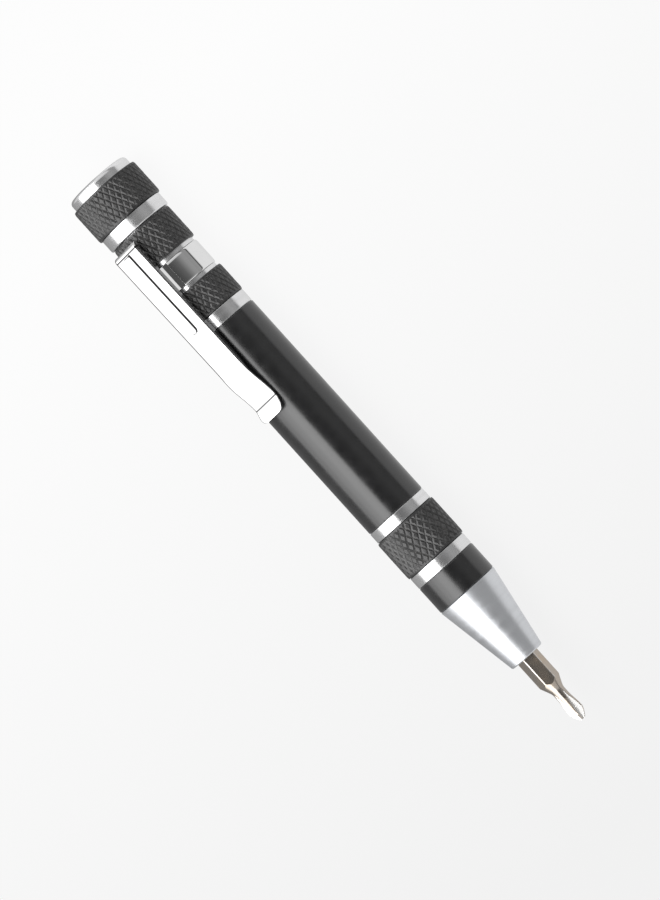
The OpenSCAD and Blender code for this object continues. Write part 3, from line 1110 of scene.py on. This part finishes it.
@dataclass
class Barrel:
    """The core tube with its knurled sleeves, trim rings and plain sleeves."""

    bore: float = 5.83
    ring_edge: float = 0.2
    sleeve_edge: float = 0.1
    round_shares: Pair = (0.3, 0.4)
    knurls: ClassVar[dict[str, Pair]] = {
        "rear_grip": (1.2, 0.5),
        "mid_grip": (1.2, 0.5),
        "front_grip": (1.4, 0.85),
    }
    rings: ClassVar[tuple[str, ...]] = ("mid_ring", "front_ring", "nose_ring")
    sleeves: ClassVar[tuple[str, ...]] = ("barrel_sleeve", "nose_band")

    def build(self, builder: Builder) -> None:
        """Builds the barrel's pieces.

        Args:
            builder: Puts them into the scene.
        """
        builder.dress("core_tube", BRIGHT)
        for node, (pitch, second) in self.knurls.items():
            Knurl(node, self.bore, pitch, second).build(builder, Body.BARREL)
        plain = [(node, self.ring_edge, BRIGHT) for node in self.rings]
        plain += [(node, self.sleeve_edge, GLOSS) for node in self.sleeves]
        for node, edge, finish in plain:
            builder.place(self.collar(node, edge), f"{node}_turned", finish, Body.BARREL, [node])

    def collar(self, node: str, edge: float) -> Shape:
        """A plain turned ring in the place of a node.

        Args:
            node: The node that gives the place and the size.
            edge: Chamfer of the outer edges.

        Returns:
            The ring.
        """
        (start, end), outer = span_of(node), radius_of(node)
        side, top = (share * edge for share in self.round_shares)
        return turned(
            [
                (start, self.bore, 0.0),
                (start, outer - edge, side),
                (start + edge, outer, top),
                (end - edge, outer, top),
                (end, outer - edge, side),
                (end, self.bore, 0.0),
            ]
        )


@dataclass
class Nose:
    """The cone with its hex bush and magnet."""

    bore: float = 3.03
    lip: float = 0.42
    edge: float = 0.2
    back_r: float = 5.2
    fine: float = 0.06
    shoulder: float = 0.1
    mouth_round: float = 0.12
    bush_edge: float = 0.05

    def build(self, builder: Builder) -> None:
        """Builds the nose's pieces.

        Args:
            builder: Puts them into the scene.
        """
        start, mouth = span_of("nose_band")[1], span_of("nose_cone")[1]
        outer, tip = radius_of("nose_cone"), self.bore + self.lip
        corners = [
            (start, self.back_r, 0.0),
            (start, outer - self.edge, self.fine),
            (start + self.edge, outer, self.shoulder),
            (mouth - self.edge, tip + self.edge / 2, self.mouth_round),
            (mouth, tip - self.edge / 2, self.fine),
            (mouth, self.bore, self.fine),
            (start, self.bore, 0.0),
        ]
        builder.place(turned(corners), "nose_cone_turned", SATIN, Body.BARREL, ["nose_cone"])
        builder.dress("bit_socket", SOCKET, self.bush_edge)
        builder.dress("magnet", NICKEL)


@dataclass
class Clip:
    """The sprung pocket clip: a folded chrome strip held by a wrap band."""

    half: float = 3.1
    sheet: float = 0.5
    face: float = 8.5
    fall: float = 0.38
    fold: float = 0.2
    bevel: float = 0.3
    bevel_turn: float = 42.0
    bevel_steps: int = 7
    inner_share: float = 0.4
    wall: float = 1.4
    wall_fade: Pair = (-5.0, 2.5)
    lean: float = 20.0
    lip_run: float = 0.95
    lip_drop: float = 0.6
    lip_foot: float = 6.55
    lip_rise: Pair = (0.4, 1.2)
    lip_reach: float = 2.0
    lip_plan: float = 0.12
    dip_len: float = 7.6
    foot: float = 6.95
    flare: float = 1.05
    flare_len: float = 2.8
    flare_ease: float = 0.25
    tip_round: float = 1.3
    tip_steps: int = 13
    rib_half: float = 0.75
    rib_h: float = 0.28
    rib_len: float = 18.9
    rib_gap: float = 0.35
    rib_edge: float = 0.14
    rib_run: float = 1.0
    rib_zone: float = 1.05
    rib_columns: int = 43
    side_shares: tuple[float, ...] = (0.55, 0.75, 0.93, 0.985)
    # Painted shade: widths of the dark lines at the bends and beside the rib, where the rib's line
    # starts across the face, and the close stations that carry the lines at the bends
    painted_shade: Pair = (0.165, 0.16)
    painted_shade_from: float = 0.3
    painted_shade_rows: tuple[float, ...] = (-0.22, -0.16, 0.0, 0.16, 0.22)
    # Painted shade: strength of the dark line along the far fold only
    painted_edge_shade: float = 0.9
    band: Pair = (19.85, 25.35)
    band_r: Pair = (5.83, 6.11)
    band_round: float = 0.62
    band_steps: int = 7
    band_sink: Pair = (0.02, 0.06)
    leg: tuple[Pair, ...] = ((2.39, 5.82), (2.03, 8.1), (1.6, 8.1), (1.6, 4.9), (2.9, 4.9))
    leg_meet: float = 31.5
    leg_lift: float = 0.02
    leg_inset: float = 0.1
    flex: Pair = (24.5, 33.5)
    strip_edge: float = 0.07
    band_edge: float = 0.09
    start: float = field(init=False)
    end: float = field(init=False)

    def __post_init__(self) -> None:
        """Takes the ends of the strip from its nodes."""
        self.start = span_of("clip_saddle")[0]
        self.end = span_of("clip_arm")[1]

    @property
    def crease(self) -> float:
        """Station of the sharp bend where the tip flares up."""
        return self.end - self.flare_len

    @property
    def dip(self) -> float:
        """Station where the strip starts to dip towards the barrel."""
        return self.crease - self.dip_len

    @property
    def bends(self) -> Pair:
        """Stations of the two sharp bends, where a dark line of painted shade runs."""
        return self.start + self.lip_run, self.crease

    def build(self, builder: Builder) -> None:
        """Builds the strip and its band.

        Args:
            builder: Puts the band into the scene.
        """
        strip = self.strip().make("clip_strip", CHROME, builder.effects, crease=30.0)
        soften(strip, self.strip_edge, segments=3, turn=55.0)
        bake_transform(strip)
        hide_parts("clip_saddle", "clip_arm")
        LOG.info("clip_strip bends between barrel and clip")
        band = builder.place(self.strap(), "clip_band", CHROME, Body.BARREL, [], crease=40.0)
        soften(band, self.band_edge, segments=3, turn=55.0)

    def strip(self) -> Shape:
        """The folded strip, from its rear lip to its flared tip.

        Returns:
            The strip.
        """
        outer = self.stations()
        run = outer - self.start
        squeezed = self.start + self.sheet + run * (self.lip_reach - self.sheet) / self.lip_reach
        inner = np.minimum(np.where(run < self.lip_reach, squeezed, outer), self.end)
        rows = [self.section(x, 0.0) for x in outer]
        rows += [self.section(x, self.sheet) for x in inner]
        count, base = len(rows[0]), len(outer) * len(rows[0])
        points = np.vstack(rows)
        # Painted shade: 1 in the dark lines at the bends and beside the rib, which the finish darkens
        lines = np.array([self.line(x, y) for x, y, _ in points[:base]])
        # The far fold, from the first point of its curve to the first of the face, gets a line of
        # painted shade
        far_fold = lines.reshape(-1, count)[:, 2 : self.bevel_steps + 3]
        far_fold[:] = np.maximum(far_fold, self.painted_edge_shade)
        last = base - count
        faces: Faces = []
        for i in range(0, last, count):
            for a in range(i, i + count - 1):
                b = base + a
                faces.append((a, a + 1, a + count + 1, a + count))
                faces.append((b, b + count, b + count + 1, b + 1))
            for a in (i, i + count - 1):
                faces.append((a, a + count, base + a + count, base + a))
        faces += [(a, a + 1, base + a + 1, base + a) for a in range(last, base - 1)]
        faces += [tuple(range(count)), tuple(range(base, base + count))]
        faces.append((0, count - 1, base + count - 1, base))
        return Shape.of(points, faces, hollow_and_shade=np.concatenate((lines, np.zeros(base))))

    def stations(self) -> np.ndarray:
        """Stations of the cross sections, close together where the strip turns.

        Returns:
            The stations in rising order.
        """
        lip, rib_end = self.start + self.lip_rise[1], self.start + self.rib_len
        after_lip, after_rib = lip + self.lip_rise[1], rib_end + self.rib_run
        tip, plain, least = self.end - self.tip_round, 0.6, 0.004
        # Close stations at the bends carry the lines of painted shade
        parts = [mark + np.array(self.painted_shade_rows) for mark in self.bends]
        parts += [
            np.arange(self.start, lip, 0.04),
            np.arange(lip, after_lip, 0.08),
            np.arange(after_lip, rib_end, plain),
            np.arange(rib_end, after_rib, 0.05),
            np.arange(after_rib, self.dip, plain),
            np.arange(self.dip, tip, 0.2),
            tip + self.tip_round * np.sin(np.linspace(0.0, math.pi / 2, self.tip_steps)),
        ]
        merged = np.sort(np.concatenate(parts))
        return merged[np.concatenate(([True], np.diff(merged) > least))]

    def height(self, x: float, inset: float) -> float:
        """Height of one skin of the strip at a station.

        Args:
            x: Station.
            inset: Distance inside the outer face.

        Returns:
            The height.
        """
        fallen = self.fall * (min(x, self.dip) - self.start) / (self.dip - self.start)
        plain = self.face - inset - fallen
        if x <= self.dip:
            bent = max(0.0, 1 - (x - self.start) / self.lip_run)
            return plain - self.lip_drop * bent**3
        foot = self.foot - inset
        swing = math.cos(math.pi * min((x - self.dip) / self.dip_len, 1.0))
        low = foot + (plain - foot) * (1 + swing) / 2
        over = x - self.crease + self.flare_ease
        slope = self.flare / self.flare_len
        if over <= 0.0:
            return low
        if over < 2 * self.flare_ease:
            return low + slope * over**2 / (4 * self.flare_ease)
        return low + slope * (x - self.crease)

    def section(self, x: float, inset: float) -> np.ndarray:
        """One open cross section, from the left wall over the face to the right.

        Args:
            x: Station.
            inset: Distance inside the outer face.

        Returns:
            The points of the section.
        """
        top = self.height(x, inset)
        fade = float(smooth(self.dip + self.wall_fade[0], self.dip + self.wall_fade[1], x))
        depth = self.sheet + (self.wall - self.sheet) * (1 - fade)
        bottom = top + inset - depth
        if x < self.start + self.lip_reach:
            lift = float(smooth(self.start + self.lip_rise[0], self.start + self.lip_rise[1], x))
            bottom = self.lip_foot + (self.face - self.wall - self.lip_foot) * lift
        half = self.half_width(x) - inset
        share = min(depth, 1.0) * (1.0 if inset == 0.0 else self.inner_share)
        curve, slant = self.fold * share, self.bevel * share
        last = math.radians(self.bevel_turn)
        turn = np.linspace(last, 0.0, self.bevel_steps)
        inside = half - curve * math.sin(last) - slant * math.cos(last)
        arc = np.stack((-inside - curve * np.sin(turn), top - curve + curve * np.cos(turn)), axis=1)
        left = np.vstack(((-half, arc[0][1] - slant * math.sin(last)), arc))
        across = self.columns() * inside
        middle = np.stack((across, top + np.array([self.rib(x, y) for y in across])), axis=1)
        mirror = np.array((-1.0, 1.0))
        fall = max(left[0][1] - bottom, 0.0)
        foot = np.array((math.tan(math.radians(self.lean)) * fall - half, bottom))
        rows = np.vstack((foot, left, middle, left[::-1] * mirror, foot * mirror))
        rows[:, 1] = np.maximum(rows[:, 1], bottom)
        return np.column_stack((np.full(len(rows), x), rows))

    def half_width(self, x: float) -> float:
        """Half the width of the strip at a station, less at its rounded ends.

        Args:
            x: Station.

        Returns:
            The half width.
        """
        half = self.half
        ends = ((self.tip_round, self.end - x), (self.lip_plan, x - self.start))
        for corner, inside in ends:
            if inside < corner:
                half -= corner - math.sqrt(max(corner**2 - (corner - inside) ** 2, 0.0))
        return half

    def columns(self) -> np.ndarray:
        """Places of the points across the face, close together at the rib.

        Returns:
            The places as shares of the half width of the face.
        """
        dense = np.linspace(-self.rib_zone, self.rib_zone, self.rib_columns)
        sides = np.array(self.side_shares)
        return np.concatenate((-sides[::-1], dense / (self.half - self.fold - self.bevel / 2), sides))

    def beside_rib(self, x: float, y: float) -> float:
        """Distance of a point outside the outline of the rib, below zero inside."""
        rear, front = self.start + self.lip_run + self.rib_gap, self.start + self.rib_len
        return max(math.hypot(max(x - front, 0.0), y) - self.rib_half, rear - x)

    def rib(self, x: float, y: float) -> float:
        """Height of the raised rib over the face at a point."""
        return self.rib_h * (1 - float(smooth(-self.rib_edge, self.rib_edge, self.beside_rib(x, y))))

    def line(self, x: float, y: float) -> float:
        """Painted shade at a point, 1 in the dark lines at the sharp bends and on the +Y side of the
        rib.
        """
        bend = min(abs(x - mark) for mark in self.bends) < self.painted_shade[0]
        return float(bend or (y > self.painted_shade_from and abs(self.beside_rib(x, y)) < self.painted_shade[1]))

    def strap(self) -> Shape:
        """The band round the tube, with the two legs inside the walls.

        Returns:
            The band.
        """
        (start, end), (inner, outer) = self.band, self.band_r
        low, sunk = (inner - sink for sink in self.band_sink)
        turn = np.linspace(0.0, math.pi / 2, self.band_steps)
        rear = [
            (start + self.band_round * (1 - math.cos(a)), low + (outer - low) * math.sin(a), 0.0)
            for a in turn
        ]
        front = [(start + end - x, r, 0.0) for x, r, _ in rear[::-1]]
        hoop = turned([(start, sunk, 0.0), *rear, *front, (end, sunk, 0.0)])
        return hoop.join(self.leg_shape(1.0)).join(self.leg_shape(-1.0))

    def leg_shape(self, side: float) -> Shape:
        """One leg of the band, which leaves the ring on a straight ramp.

        Args:
            side: 1 for the +Y side and -1 for the other.

        Returns:
            The leg.
        """
        reach, meet = self.band_r[1] + self.leg_lift, math.radians(self.leg_meet)
        outline = [(reach * math.sin(meet), reach * math.cos(meet)), *self.leg]
        ends = (self.band[0] + self.leg_inset, self.band[1] - self.leg_inset)
        count = len(outline)
        points = [(x, side * y, z) for x in ends for y, z in outline]
        faces = around(0, count, count)
        faces += [tuple(range(count)), tuple(range(count, 2 * count))]
        return Shape.of(np.array(points), faces)


@dataclass
class Bit:
    """One hex bit with its turned and shaped end."""

    node: str
    body: Body
    point: Point
    width: float
    roll: float
    blade: float = 0.5
    tip_len: float = 8.5
    flat: float = 4.0
    columns: ClassVar[int] = 192
    crease: ClassVar[float] = 28.0
    corner: ClassVar[float] = 0.975
    worn: ClassVar[Pair] = (0.955, 0.975)
    ground: ClassVar[Pair] = (0.02, 0.06)
    ground_from: ClassVar[float] = 0.4
    back_cut: ClassVar[float] = 0.4
    shoulder: ClassVar[float] = math.tan(math.radians(24.0))
    blend: ClassVar[float] = 0.07
    blend_run: ClassVar[float] = 0.6
    neck: ClassVar[tuple[Pair, ...]] = (
        (0.0, 0.84),
        (0.43, 0.84),
        (0.55, 0.92),
        (0.67, 0.99),
        (0.78, 1.0),
        (0.86, 0.84),
        (0.97, 0.46),
        (1.0, 0.3),
    )
    flute_open: ClassVar[float] = math.radians(52.0)
    flute_turn: ClassVar[float] = math.radians(31.0)
    flute_root_share: ClassVar[float] = 0.2
    heel_share: ClassVar[float] = 0.45
    lobe_from_share: ClassVar[float] = 0.72
    notch_share: ClassVar[float] = 0.2
    lead: ClassVar[float] = 0.2

    @property
    def full(self) -> float:
        """Radius of the hex at its sharp corners."""
        return self.flat / math.sqrt(3)

    def build(self, builder: Builder) -> None:
        """Builds the bit in the place of its node.

        Args:
            builder: Puts it into the scene.
        """
        low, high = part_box(self.node)
        middle = (low + high) / 2 / MM
        start, end = span_of(self.node)
        shank = end - start - self.tip_len
        along = self.stations(shank, end - start)
        angles = full_turn(self.columns)
        radii = np.array([self.radius(angles, x, shank) for x in along])
        depth = 1 - radii / radii.max(axis=1, keepdims=True)
        hexed = (along < shank + self.ground_from)[:, None]
        edge = np.where(hexed, smooth(*self.worn, radii / self.full), 0.0)
        hollow_and_shade = np.where(hexed, 0.0, smooth(*self.ground, depth))
        net = Net(start + along, self.columns, (middle.y, middle.z), self.roll)
        shape = net.shape(radii, edge, hollow_and_shade)
        builder.place(shape, f"{self.node}_shaped", STEEL, self.body, [self.node], self.crease)

    @staticmethod
    def stations(shank: float, length: float) -> np.ndarray:
        """Stations of the rings, close together at the ends of the hex.

        Args:
            shank: Length of the hex.
            length: Length of the bit.

        Returns:
            The stations from the rear end.
        """
        # First station, last station and number of rings of each run
        runs = (
            (0.0, 0.8, 11),
            (1.0, shank - 1.4, 8),
            (shank - 1.2, shank + 2.8, 64),
            (shank + 2.9, length, 64),
        )
        return np.concatenate([np.linspace(first, last, count) for first, last, count in runs])

    def radius(self, angle: np.ndarray, x: float, shank: float) -> np.ndarray:
        """Radius at each angle of one station.

        Args:
            angle: Angles in radians from a corner of the hex.
            x: Distance from the rear end.
            shank: Length of the hex.

        Returns:
            The radius at each angle.
        """
        tip = x - shank
        cone = self.flat / 2 - tip * self.shoulder
        if tip < 0.0:
            sixth = math.pi / 3
            flats = self.flat / 2 / np.cos(np.mod(angle, sixth) - sixth / 2)
            cone = min(self.full - self.back_cut + x, cone)
            return np.minimum(np.minimum(flats, self.corner * self.full), cone)
        ends = {Point.CROSS: self.crossed, Point.BLADE: self.slotted, Point.STAR: self.lobed}
        end = ends[self.point](angle, tip)
        eased = self.blend * np.log1p(np.exp(-np.abs(end - cone) / self.blend))
        return np.maximum(end, cone) + eased * float(smooth(0.0, self.blend_run, tip))

    def crossed(self, angle: np.ndarray, tip: float) -> np.ndarray:
        """Radius of a cross point, with four V flutes.

        Args:
            angle: Angles in radians.
            tip: Distance from the hex.

        Returns:
            The radius at each angle.
        """
        half, quarter, least = self.width / 2, math.pi / 2, 0.02
        stops, sizes = zip(*self.neck)
        body = half * float(np.interp(tip / self.tip_len, stops, sizes))
        root = self.flute_root_share * half
        rise = root + (self.tip_len - tip) * (half - root) / self.tip_len
        off = np.abs(np.mod(angle - self.flute_turn + quarter / 2, quarter) - quarter / 2)
        flute = rise * math.sin(self.flute_open) / np.sin(np.maximum(self.flute_open - off, least))
        return np.minimum(body, flute)

    def slotted(self, angle: np.ndarray, tip: float) -> np.ndarray:
        """Radius of a slotted end, with two flats that close on the blade.

        Args:
            angle: Angles in radians.
            tip: Distance from the hex.

        Returns:
            The radius at each angle.
        """
        half, least = self.width / 2, 1e-3
        heel = self.heel_share * self.tip_len
        thick = float(np.interp(tip, (heel, self.tip_len), (half, self.blade / 2)))
        return np.minimum(half, thick / np.maximum(np.abs(np.cos(angle)), least))

    def lobed(self, angle: np.ndarray, tip: float) -> np.ndarray:
        """Radius of a star end, with six lobes and a small lead.

        Args:
            angle: Angles in radians.
            tip: Distance from the hex.

        Returns:
            The radius at each angle.
        """
        half, notch = self.width / 2, self.notch_share * self.width
        body = np.full_like(angle, half)
        if tip < self.lobe_from_share * self.tip_len:
            return body
        sixth, centre = math.pi / 3, half + notch / 4
        off = np.mod(angle + sixth / 2, sixth) - sixth / 2
        side = notch**2 - (centre * np.sin(off)) ** 2
        cut = centre * np.cos(off) - np.sqrt(np.maximum(side, 0.0))
        lead = min(half, half - self.lead + (self.tip_len - tip))
        return np.minimum(np.where(side > 0.0, cut, body), lead)


@dataclass
class Bits:
    """The bit in the nose, the rack and the spare bits that it holds."""

    roll: float = -12.0
    first_slot: float = 60.0
    slot_step: float = 120.0
    rack_edge: float = 0.12
    driver_width: float = 3.0
    spares: tuple[tuple[str, Point, Pair, Pair], ...] = (
        ("cross", Point.CROSS, (3.0, 2.0), (0.5, 0.5)),
        ("slot", Point.BLADE, (3.0, 2.2), (0.5, 0.4)),
        ("star", Point.STAR, (2.2, 1.7), (0.5, 0.5)),
    )

    def build(self, builder: Builder) -> None:
        """Builds every bit and dresses the rack.

        Args:
            builder: Puts them into the scene.
        """
        Bit("driver_bit", Body.BIT, Point.CROSS, self.driver_width, self.roll).build(builder)
        for slot, (kind, point, widths, blades) in enumerate(self.spares):
            roll = self.slot_step * slot + self.first_slot
            for size, width, blade in zip(("large", "small"), widths, blades):
                Bit(f"spare_{kind}_{size}", Body.RACK, point, width, roll, blade).build(builder)
        builder.dress("bit_rack", PLASTIC, self.rack_edge)


# Studio


@dataclass
class Studio:
    """Camera, soft light and pale floor.

    The places of the lamp and the reach of the floor are in metres. The stops of
    the room are in degrees about the pen axis, and its ends are along the pen.
    """

    lean: float = 39.0
    away: float = 1000.0
    eye_x: float = 84.7
    aim: Pair = (64.4, 1.44)
    run: Pair = (0.6704, 0.7420)
    lens: float = 222.0
    sensor: float = 36.0
    sight: Pair = (0.05, 50.0)
    lamp_y: tuple[float, ...] = (-0.74, -0.346, -0.106, 0.24)
    lamp_x: Pair = (-0.56, 0.9)
    lamp_z: float = 0.6
    radiance: tuple[float, ...] = (1.85, 2.5, 3.1)
    room: tuple[Pair, ...] = (
        (-180.0, 0.3),
        (-56.0, 0.36),
        (-48.0, 0.05),
        (20.0, 0.05),
        (40.0, 0.09),
        (55.0, 0.13),
        (78.0, 0.29),
        (90.0, 0.31),
        (180.0, 0.31),
    )
    ends: tuple[tuple[float, float, float, float], ...] = (
        (-0.12, -0.27, 1.0, 0.62),
        (0.14, 0.36, 0.3, 0.42),
        (-0.48, -0.7, 1.0, 0.75),
        (0.48, 0.7, 1.0, 0.75),
    )
    floor_z: float = -7.2
    floor_reach: float = 4.0
    floor_fade: Pair = (0.0, 0.15)
    floor_level: Pair = (0.93, 0.83)
    floor_shadow: float = 0.03
    # Painted reflection: glow of the floor seen only in reflections, by millimetres across the pen;
    # darker on the -Y side, bright beside the pen on the +Y side, with a dark band beyond
    reflection_glow: tuple[Pair, ...] = (
        (-100.0, 0.35),
        (-18.0, 0.3),
        (-9.0, 0.4),
        (-5.0, 0.6),
        (8.0, 0.8),
        (24.0, 0.8),
        (28.0, 0.55),
        (30.0, 0.07),
        (36.0, 0.07),
        (38.0, 0.3),
        (100.0, 0.29),
    )

    def build(self) -> None:
        """Builds the studio."""
        self.camera()
        self.lamp()
        self.surround()
        self.floor()
        view = bpy.context.scene.view_settings
        view.view_transform = "Standard"
        view.look = "None"

    def camera(self) -> None:
        """Places the camera at the viewing angle, rolled as the picture is."""
        tilt = math.radians(self.lean)
        out = Vector((0.0, math.sin(tilt), math.cos(tilt)))
        side = Vector((0.0, -math.cos(tilt), math.sin(tilt)))
        eye = Vector((self.eye_x * MM, 0.0, 0.0)) + out * self.away * MM
        aim = Vector((self.aim[0] * MM, 0.0, 0.0)) + side * self.aim[1] * MM
        back = (eye - aim).normalized()
        right = Vector((1.0, 0.0, 0.0)) * self.run[0] - side * self.run[1]
        right = (right - back * right.dot(back)).normalized()
        up = back.cross(right)
        data = bpy.data.cameras.new("camera")
        data.lens = self.lens
        data.sensor_fit = "VERTICAL"
        data.sensor_height = self.sensor
        data.clip_start, data.clip_end = self.sight
        item = bpy.data.objects.new("camera", data)
        columns = [(*axis, 0.0) for axis in (right, up, back)]
        item.matrix_world = Matrix((*columns, (*eye, 1.0))).transposed()
        bpy.context.scene.collection.objects.link(item)
        bpy.context.scene.camera = item

    def lamp(self) -> None:
        """Hangs one wide soft box over the clip side, fading towards its far edge."""
        for near, far, level in zip(self.lamp_y, self.lamp_y[1:], self.radiance):
            data = bpy.data.lights.new("soft_box", "AREA")
            data.shape = "RECTANGLE"
            data.size = self.lamp_x[1] - self.lamp_x[0]
            data.size_y = far - near
            data.energy = level * math.pi * data.size * data.size_y
            item = bpy.data.objects.new("soft_box", data)
            item.location = (sum(self.lamp_x) / 2, (near + far) / 2, self.lamp_z)
            item.visible_camera = False
            bpy.context.scene.collection.objects.link(item)

    def surround(self) -> None:
        """Paints the room: dark overhead, grey in front and pale towards both ends."""
        world = bpy.data.worlds.new("room")
        world.use_nodes = True
        world.node_tree.nodes.clear()
        wiring = Wiring(world.node_tree)
        parts = wiring.parts(wiring.add("ShaderNodeTexCoord").outputs["Generated"])
        turn = wiring.math("DEGREES", wiring.math("ARCTAN2", parts["Y"], parts["Z"]))
        tone = wiring.levels(turn, self.room)
        for edge, full, cover, level in self.ends:
            share = wiring.span(parts["X"], (edge, full), (0.0, cover), smooth=True)
            tone = wiring.mix(share, tone, (level, level, level))
        glow = wiring.add("ShaderNodeBackground", {"Color": tone})
        wiring.add("ShaderNodeOutputWorld", {"Surface": glow.outputs[0]})
        bpy.context.scene.world = world

    def floor(self) -> None:
        """Lays the pale floor, and the painted reflection that the pen's metal sees in it."""
        mesh = bpy.data.meshes.new("floor")
        reach, z = self.floor_reach, self.floor_z * MM
        corners = [(-reach, -reach, z), (reach, -reach, z), (reach, reach, z), (-reach, reach, z)]
        mesh.from_pydata(corners, [], [(0, 1, 2, 3)])
        item = bpy.data.objects.new("floor", mesh)
        bpy.context.scene.collection.objects.link(item)
        paint = bpy.data.materials.new("pale_floor")
        paint.use_nodes = True
        paint.node_tree.nodes.clear()
        wiring = Wiring(paint.node_tree)
        parts = wiring.parts(wiring.place())
        tone = wiring.levels(wiring.math("DIVIDE", parts["Y"], MM), self.reflection_glow)
        reflection_glow = wiring.add("ShaderNodeEmission", {"Color": tone})
        level = wiring.span(parts["X"], self.floor_fade, self.floor_level)
        glow = wiring.add("ShaderNodeEmission", {"Strength": level})
        grey = (self.floor_shadow, self.floor_shadow, self.floor_shadow, 1.0)
        lit = wiring.add("ShaderNodeBsdfDiffuse", {"Color": grey})
        pale = wiring.add("ShaderNodeAddShader", {0: glow.outputs[0], 1: lit.outputs[0]})
        # Reflections see the painted reflection glow, the camera the pale floor
        glossy = wiring.add("ShaderNodeLightPath").outputs["Is Glossy Ray"]
        shaders = {0: glossy, 1: pale.outputs[0], 2: reflection_glow.outputs[0]}
        both = wiring.add("ShaderNodeMixShader", shaders)
        wiring.add("ShaderNodeOutputMaterial", {"Surface": both.outputs[0]})
        mesh.materials.append(paint)


def main() -> None:
    """Builds the screwdriver and its studio, and reports each piece."""
    logging.basicConfig(level=logging.INFO, format="%(message)s")
    Studio().build()
    builder = Builder(Effects.build())
    for part in (Cap(), Barrel(), Nose(), Clip(), Bits()):
        part.build(builder)
        LOG.info("%s done", type(part).__name__)


if __name__ == "__main__":
    main()
